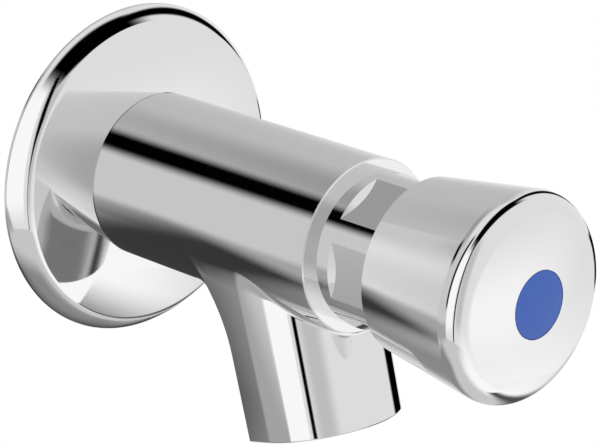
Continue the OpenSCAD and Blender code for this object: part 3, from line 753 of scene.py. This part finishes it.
class TAP_OT_headwork(bpy.types.Operator):
    """Makes the neck with its collar, shoulders and spanner flats, and the screwed shank behind it"""

    bl_idname = "tap.headwork"
    bl_label = "Headwork"

    # Radius of the spring's pocket in the neck, and its floor's distance from the barrel's face
    POCKET_R = 11.0 * MM
    WEB = 7.8 * MM

    def execute(self, context):
        size = context.scene.tap_sizes
        face_s = size.flange_h + size.barrel_len
        round_r, flat_r = size.neck_d / 2, size.neck_flats / 2
        flats_s, end_s = face_s + size.collar_len, face_s + size.neck_len
        half = math.acos(flat_r / round_r)
        sixth = math.pi / 3
        steep = (round_r - flat_r) / size.shoulder_len
        flat = np.linspace(-half, half, 25)
        curved = np.linspace(half, sixth - half, 9)
        flat_out = flat_r / np.cos(flat)
        shoulder_s = flats_s + (round_r - flat_out) / (round_r - flat_r) * size.shoulder_len
        patch = Patchwork()
        for k in range(6):
            # One flat and the round that follows it
            middle = k * sixth
            for turn, out, from_s, facing in (
                (flat, flat_out, shoulder_s, 0 * flat), (curved, round_r, flats_s, curved)
            ):
                around = turn + middle
                outwards = BARREL.spin(around)
                pocket_r, floor_s = self.POCKET_R, face_s + self.WEB
                self.band(patch, around, (from_s, end_s), (out, out), BARREL.spin(facing + middle))
                self.band(patch, around, (end_s, end_s), (out, pocket_r), BARREL.along)
                self.band(patch, around, (end_s, floor_s), (pocket_r, pocket_r), -outwards)
                self.band(patch, around, (face_s, flats_s), (round_r, round_r), outwards)
                self.inside(patch, face_s, round_r, around)
            slope_n = BARREL.facing(steep + 0 * flat, 1 + 0 * flat, flat + middle) / math.hypot(1, steep)
            self.band(patch, flat + middle, (flats_s, shoulder_s), (round_r, flat_out), slope_n)
        dress(patch.build("headwork_neck", [finish("chrome")]), "tap_body", "headwork")
        return {"FINISHED"}

    def band(self, patch, turns, ends, out, normals):
        """A strip between two places along the barrel's axis, each with its distance out from it."""
        along, width = (np.stack([v + 0 * turns for v in pair]) for pair in (ends, out))
        patch.add(BARREL.at(along, width, np.stack([turns, turns])), normals)

    def inside(self, patch, face_s, round_r, turns):
        """The web that holds the guide bush, the socket of the sleeve and the shank in the barrel."""
        web_front, web_rear, rear = face_s + self.WEB, face_s + 3.8 * MM, face_s - 14.0 * MM
        bush_r, socket_r, shank_r, groove_r = 6.05 * MM, 10.45 * MM, 13.95 * MM, 12.0 * MM
        groove_rear, groove_front = rear + 1.0 * MM, rear + 3.2 * MM
        corners = [
            (web_front, self.POCKET_R), (web_front, bush_r), (web_rear, bush_r), (web_rear, socket_r),
            (rear, socket_r), (rear, shank_r), (groove_rear, shank_r), (groove_rear, groove_r),
            (groove_front, groove_r), (groove_front, shank_r), (face_s, shank_r), (face_s, round_r),
        ]
        turn_runs(patch, BARREL, outline(corners, closed=False), turns)


class TAP_OT_button(bpy.types.Operator):
    """Turns the push button and the blue disc in its domed face"""

    bl_idname = "tap.button"
    bl_label = "Push button"

    def execute(self, context):
        size = context.scene.tap_sizes
        face_s = size.flange_h + size.barrel_len
        back_s = face_s + size.button_gap
        crown_s = back_s + size.button_len
        slope = (size.button_front_d - size.button_back_d) / 2 / size.button_len
        unit = math.hypot(1, slope)
        rim_r, dome_r = size.button_rim_r, size.dome_r
        dome_s = crown_s - dome_r
        # The rim's rounding touches the cone and the dome from inside
        line = size.button_back_d / 2 + slope * (dome_s - back_s) - rim_r * unit
        root = math.sqrt((line * slope)**2 - unit**2 * (line**2 - (dome_r - rim_r)**2))
        up = (root - line * slope) / unit**2
        rim = np.array([dome_s + up, line + slope * up])
        cone_angle = 90 + math.degrees(math.atan(slope))
        dome_angle = math.degrees(math.atan2(rim[1], up))
        cone_end = rim + rim_r / unit * np.array([-slope, 1])
        disc_r, disc_floor = size.disc_d / 2, crown_s - 1.5 * MM
        recess_r, head_r, screw_r, boss_r = disc_r + 0.05 * MM, 3.9 * MM, 2.05 * MM, 8.0 * MM
        edge = math.degrees(math.asin(recess_r / dome_r))
        edge_s = dome_s + dome_r * math.cos(math.radians(edge))
        bore_r, bevel, chamfer, rounding = size.neck_d / 2 + 0.25 * MM, 0.5 * MM, 0.3 * MM, 0.15 * MM
        ceiling, boss_s = crown_s - 5.6 * MM, face_s + size.neck_len + 12.3 * MM
        head_s = boss_s + 1.8 * MM
        back = size.button_back_d / 2
        runs = outline([
            (back_s, bore_r + chamfer), (back_s, back - bevel, rounding),
            (back_s + bevel, back + slope * bevel, rounding), tuple(cone_end),
        ], closed=False)
        runs.append(arc(rim, rim_r, cone_angle, dome_angle, 24))
        runs.append(arc((dome_s, 0), dome_r, dome_angle, edge, 24))
        runs += outline([
            (edge_s, recess_r), (disc_floor, recess_r), (disc_floor, head_r), (head_s, head_r),
            (head_s, screw_r), (boss_s, screw_r), (boss_s, boss_r), (ceiling, boss_r),
            (ceiling, bore_r), (back_s + chamfer, bore_r), (back_s, bore_r + chamfer),
        ], closed=False)
        turned_piece(
            "push_button_cap", "chrome", BARREL, runs, "button_assembly", "push_button"
        )
        self.disc(size, dome_s, disc_r, disc_floor)
        return {"FINISHED"}

    def disc(self, size, dome_s, disc_r, disc_floor):
        """The disc follows the dome and has a small rounded edge."""
        dome_r, rounding = size.dome_r, 0.25 * MM
        reach = dome_r - rounding
        middle = np.array([dome_s + math.sqrt(reach**2 - (disc_r - rounding)**2), disc_r - rounding])
        meet = math.degrees(math.atan2(middle[1], middle[0] - dome_s))
        runs = [
            straight((disc_floor, 0), (disc_floor, disc_r)),
            straight((disc_floor, disc_r), (middle[0], disc_r)),
            arc(middle, rounding, 90, meet, 8),
            arc((dome_s, 0), dome_r, meet, 0, 12),
        ]
        turned_piece(
            "blue_index_disc", "blue", BARREL, runs, "button_assembly", "index_disc"
        )


class TAP_OT_outlet(bpy.types.Operator):
    """Turns the outlet ring in the spout's mouth"""

    bl_idname = "tap.outlet"
    bl_label = "Outlet ring"

    def execute(self, context):
        size = context.scene.tap_sizes
        sunk, depth = 0.6 * MM, 3.4 * MM
        outer, bore, outer_edge, bore_edge = 11.95 * MM, 10.0 * MM, 0.3 * MM, 0.5 * MM
        front = size.spout_len - sunk
        rear = front - depth
        runs = outline([(rear, outer), (front, outer, outer_edge), (front, bore, bore_edge), (rear, bore)])
        turned_piece(
            "outlet_ring_chrome", "chrome", spout_axis(size), runs,
            "tap_body", "outlet_ring",
        )
        return {"FINISHED"}


class TAP_OT_spring(bpy.types.Operator):
    """Winds the return spring under the button, at the length of its solid; the real spring shortens as the
    button goes in, but this one keeps that length
    """

    bl_idname = "tap.spring"
    bl_label = "Return spring"

    def execute(self, context):
        low, high = (np.array(v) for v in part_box("return_spring"))
        wire_r, coil_r, turns = 0.7 * MM, 9.0 * MM, 7
        rear_s, free = -high[1], high[1] - low[1]
        end_pitch = 2 * wire_r + 0.5 * MM
        mid_pitch = (free - 2 * wire_r - 2 * end_pitch) / (turns - 2)
        n = np.linspace(0, turns, turns * 32 + 1)
        climb = end_pitch * np.minimum(n, 1) + end_pitch * np.maximum(0, n - turns + 1)
        climb += mid_pitch * np.maximum(0, np.minimum(n, turns - 1) - 1)
        turn = (n * 2 * math.pi)[:, None]
        round_wire = np.linspace(0, 2 * math.pi, 13)[None, :]
        out = coil_r + wire_r * np.cos(round_wire)
        along = rear_s + wire_r + climb[:, None] + wire_r * np.sin(round_wire)
        points = BARREL.at(along, out, turn)
        normals = BARREL.facing(np.sin(round_wire), np.cos(round_wire), turn)
        patch = Patchwork()
        patch.add(points, normals)
        for end, way in ((0, -1), (-1, 1)):
            middle = points[end].mean(axis=0)
            across = np.cross(BARREL.along, BARREL.spin(turn[end])[0]) * way
            patch.add(np.stack([points[end], np.broadcast_to(middle, points[end].shape)]), across)
        piece = patch.build("return_spring_coil", [finish("wire")])
        dress(piece, "tap_body", "return_spring")
        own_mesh(piece)
        return {"FINISHED"}


NODE_FINISHES = {
    "acetal": ["flow_limiter", "flow_straightener", "cartridge_sleeve", "guide_bush", "piston"],
    "rubber": [
        "outlet_washer", "headwork_seal", "sleeve_seal", "spindle_seal", "piston_seal", "valve_washer",
    ],
    "steel": [
        "inlet_filter", "valve_seat", "bush_clip", "metering_pin", "spindle", "piston_clip", "button_screw",
    ],
    "brass": ["spring_cap", "washer_plate", "washer_nut"],
}


class TAP_OT_inner(bpy.types.Operator):
    """Gives the pieces that keep their solids, inside the tap and at its two ends, their finishes"""

    bl_idname = "tap.inner"
    bl_label = "Inner pieces"

    def execute(self, context):
        for name, nodes in NODE_FINISHES.items():
            for node in nodes:
                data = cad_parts[node].data
                data.materials.clear()
                data.materials.append(finish(name))
        return {"FINISHED"}


# Studio

# Cards round the set that only the chrome mirrors: azimuth and elevation in degrees as seen from the tap,
# where azimuth 0 lies straight in front of it and 90 to its right, then the distance in metres, half the
# width and half the height in degrees, the roll, the shares of width and height that the soft edges take,
# and the brightness against the white
CARDS = [
    ("rear_left_grey", -135, 10, 2.0, 42, 52, 0, 0.1, 0.3, 0.78),
    ("rear_right_grey", 160, 25, 2.1, 40, 48, 0, 0.5, 0.4, 0.66),
    ("rear_shade", -172, 52, 1.9, 30, 18, 0, 0.9, 0.9, 0.42),
    ("rear_softbox", -158, 0, 1.8, 18, 28, 0, 0.7, 0.6, 1.1),
    ("front_softbox", 32, -20, 1.9, 34, 18, 0, 0.9, 0.9, 1.25),
    ("front_low_softbox", 20, -45, 0.28, 50, 25, 0, 0.8, 0.8, 1.3),
    ("front_low_grey", 66, -54, 0.26, 44, 13, 0, 0.5, 0.9, 0.1),
    ("front_left_grey", -38, 15, 1.9, 22, 45, 0, 0.8, 0.5, 0.7),
    ("low_left_grey", -122, -27, 0.45, 28, 12, 0, 0.12, 0.7, 0.5),
    ("left_softbox", -79.5, 14, 1.7, 16.5, 46, 0, 0.08, 0.5, 1.3),
    ("left_rear_strip", -98, 32, 1.5, 6, 40, 0, 0.5, 0.3, 0.0),
    ("left_front_strip", -56, 12, 1.5, 4, 50, 4, 0.6, 0.2, 0.0),
    ("ceiling_flag", 12, 77, 1.4, 42, 13, 0, 0.5, 0.3, 0.0),
    ("right_strip", 105, 30, 1.4, 6, 42, -17, 0.5, 0.2, 0.0),
    ("right_low_flag", 97, -16, 1.5, 18, 7, 0, 0.35, 0.35, 0.0),
    ("barrel_flag", -147.5, 35, 1.5, 15, 10, 45, 0.7, 0.5, 0.0),
    ("grey_sheet_below", -158, -62, 0.25, 42, 25, 0, 0.55, 0.6, 0.33),
    ("under_barrel_flag", -171, -34, 0.115, 36, 23, 0, 0.33, 0.8, 0.05),
]


class TapStudio(bpy.types.PropertyGroup):
    """Levels of the studio."""

    sky: bpy.props.FloatProperty(
        name="Surrounding light", description="Level of the even light from all round", default=0.8, min=0.0
    )
    fill: bpy.props.FloatProperty(
        name="Soft lamp", description="Power of the soft lamp overhead", default=0.6, min=0.0, unit="POWER"
    )


class TAP_OT_stage(bpy.types.Operator):
    """Sets up the pale floor, the light tent with its cards, a soft lamp and the camera"""

    bl_idname = "tap.stage"
    bl_label = "Studio"

    def execute(self, context):
        self.surroundings(context.scene)
        for place in CARDS:
            self.card(context.scene, *place)
        self.floor(context.scene)
        self.lamp(context.scene)
        self.camera(context.scene)
        context.scene.view_settings.view_transform = "Standard"
        return {"FINISHED"}

    def surroundings(self, scene):
        """Even light from all round, and plain white to the camera and in the chrome."""
        world = bpy.data.worlds.new("white_surroundings")
        scene.world = world
        world.use_nodes = True
        tree = world.node_tree
        tree.nodes.clear()
        sky = scene.tap_studio.sky
        light = add_node(tree, "ShaderNodeBackground", None, Color=(1, 1, 1, 1), Strength=sky)
        white = add_node(tree, "ShaderNodeBackground", None, Color=(1, 1, 1, 1), Strength=1.0)
        path = add_node(tree, "ShaderNodeLightPath")
        mirrored = add_node(
            tree, "ShaderNodeMath", {"operation": "ADD"},
            _0=path.outputs["Is Glossy Ray"], _1=path.outputs["Is Transmission Ray"],
        )
        seen = add_node(
            tree, "ShaderNodeMath", {"operation": "ADD", "use_clamp": True},
            _0=path.outputs["Is Camera Ray"], _1=mirrored.outputs[0],
        )
        either = add_node(
            tree, "ShaderNodeMixShader", None, _0=seen.outputs[0], _1=light.outputs[0], _2=white.outputs[0]
        )
        add_node(tree, "ShaderNodeOutputWorld", None, Surface=either.outputs[0])

    def card(
        self, scene, name, azimuth, elevation, away, half_wide, half_high, roll, soft_x, soft_y, bright
    ):
        """A soft edged card that faces the tap and shows in nothing but its chrome."""
        a, e = math.radians(azimuth), math.radians(elevation)
        middle = Vector((0, -0.06, 0))
        to_card = Vector((math.sin(a) * math.cos(e), -math.cos(a) * math.cos(e), math.sin(e)))
        half = [away * math.tan(math.radians(v)) for v in (half_wide, half_high)]
        corners = [(x * half[0], y * half[1], 0) for x, y in ((-1, -1), (1, -1), (1, 1), (-1, 1))]
        mesh = bpy.data.meshes.new(name)
        mesh.from_pydata(corners, [], [(0, 1, 2, 3)])
        card = bpy.data.objects.new(name, mesh)
        rolled = Matrix.Rotation(math.radians(roll), 4, "Z")
        turned = (-to_card).to_track_quat("Z", "Y").to_matrix().to_4x4() @ rolled
        card.matrix_world = Matrix.Translation(middle + away * to_card) @ turned
        card.visible_camera = card.visible_diffuse = card.visible_transmission = card.visible_shadow = False
        scene.collection.objects.link(card)
        material = bpy.data.materials.new(name)
        material.use_nodes = True
        tree = material.node_tree
        tree.nodes.clear()
        place = add_node(tree, "ShaderNodeTexCoord")
        across = add_node(tree, "ShaderNodeSeparateXYZ", None, Vector=place.outputs["Object"])
        share = 1.0
        for way, reach, soft in zip("XY", half, (soft_x, soft_y)):
            off = add_node(tree, "ShaderNodeMath", {"operation": "ABSOLUTE"}, _0=across.outputs[way])
            edge = add_node(
                tree, "ShaderNodeMapRange", {"interpolation_type": "SMOOTHSTEP"}, Value=off.outputs[0],
                From_Min=reach * (1 - soft), From_Max=reach, To_Min=1.0, To_Max=0.0,
            )
            share = add_node(
                tree, "ShaderNodeMath", {"operation": "MULTIPLY"}, _0=share, _1=edge.outputs["Result"]
            ).outputs[0]
        clear = add_node(tree, "ShaderNodeBsdfTransparent")
        cloth = add_node(tree, "ShaderNodeEmission", None, Color=(1, 1, 1, 1), Strength=bright)
        mixed = add_node(
            tree, "ShaderNodeMixShader", None, _0=share, _1=clear.outputs[0], _2=cloth.outputs[0]
        )
        add_node(tree, "ShaderNodeOutputMaterial", None, Surface=mixed.outputs[0])
        mesh.materials.append(material)

    def floor(self, scene):
        """A pale round floor well below the tap, which takes its shadow."""
        radius, drop, sides = 0.5, -0.3, 96
        turns = [2 * math.pi * k / sides for k in range(sides)]
        mesh = bpy.data.meshes.new("studio_floor")
        rim = [(radius * math.cos(k), radius * math.sin(k), drop) for k in turns]
        mesh.from_pydata(rim, [], [list(range(sides))])
        floor = bpy.data.objects.new("studio_floor", mesh)
        scene.collection.objects.link(floor)
        material, tree, shader = new_material("pale_studio_floor", Base_Color=scene.tap_colours.floor)
        roughen(tree, shader, 40.0, 0.8, 0.95)
        mesh.materials.append(material)

    def lamp(self, scene):
        """One large soft lamp overhead, which the chrome doesn't mirror."""
        light = bpy.data.lights.new("soft_overhead", "AREA")
        light.size = 0.6
        light.energy = scene.tap_studio.fill
        lamp = bpy.data.objects.new("soft_overhead", light)
        lamp.location = (-0.2, -0.4, 0.7)
        lamp.rotation_euler = (Vector((0, -0.05, 0)) - lamp.location).to_track_quat("-Z", "Y").to_euler()
        lamp.visible_glossy = False
        scene.collection.objects.link(lamp)

    def camera(self, scene):
        """The photograph's view: a long lens, a little above and to the left of the tap."""
        data = bpy.data.cameras.new("photo_camera")
        data.sensor_width = 36.0
        data.lens = 150.32
        data.clip_start = 0.01
        camera = bpy.data.objects.new("photo_camera", data)
        azimuth, elevation = math.radians(-44.1), math.radians(19.397)
        right = Vector((math.cos(azimuth), math.sin(azimuth), 0))
        level = math.cos(elevation)
        back = Vector((math.sin(azimuth) * level, -math.cos(azimuth) * level, math.sin(elevation)))
        turned = Matrix((right, back.cross(right), back)).transposed().to_4x4()
        camera.matrix_world = Matrix.Translation((-0.32633, -0.38679, 0.16492)) @ turned
        scene.collection.objects.link(camera)
        scene.camera = camera


class TAP_PT_panel(bpy.types.Panel):
    """Lists the tap's sizes, colours and pieces in the sidebar"""

    bl_idname = "TAP_PT_panel"
    bl_label = "Push timed wall tap"
    bl_space_type = "VIEW_3D"
    bl_region_type = "UI"
    bl_category = "Tap"

    def draw(self, context):
        for group in (context.scene.tap_sizes, context.scene.tap_colours, context.scene.tap_studio):
            box = self.layout.box()
            for key in group.__annotations__:
                box.prop(group, key)
        for operator in OPERATORS:
            self.layout.operator(operator.bl_idname)


GROUPS = {"tap_sizes": TapSizes, "tap_colours": TapColours, "tap_studio": TapStudio}
OPERATORS = [
    TAP_OT_body, TAP_OT_flange, TAP_OT_headwork, TAP_OT_button,
    TAP_OT_outlet, TAP_OT_spring, TAP_OT_inner, TAP_OT_stage,
]


def register():
    """Registers the groups, operators and panel."""
    for kind in [*GROUPS.values(), *OPERATORS, TAP_PT_panel]:
        bpy.utils.register_class(kind)
    for name, kind in GROUPS.items():
        setattr(bpy.types.Scene, name, bpy.props.PointerProperty(type=kind))


def unregister():
    """Takes them away again."""
    for name in GROUPS:
        delattr(bpy.types.Scene, name)
    for kind in reversed([*GROUPS.values(), *OPERATORS, TAP_PT_panel]):
        bpy.utils.unregister_class(kind)


def main():
    """Makes every piece and the studio."""
    register()
    bpy.ops.tap.body()
    bpy.ops.tap.flange()
    bpy.ops.tap.headwork()
    bpy.ops.tap.button()
    bpy.ops.tap.outlet()
    bpy.ops.tap.spring()
    bpy.ops.tap.inner()
    bpy.ops.tap.stage()


if __name__ == "__main__":
    main()
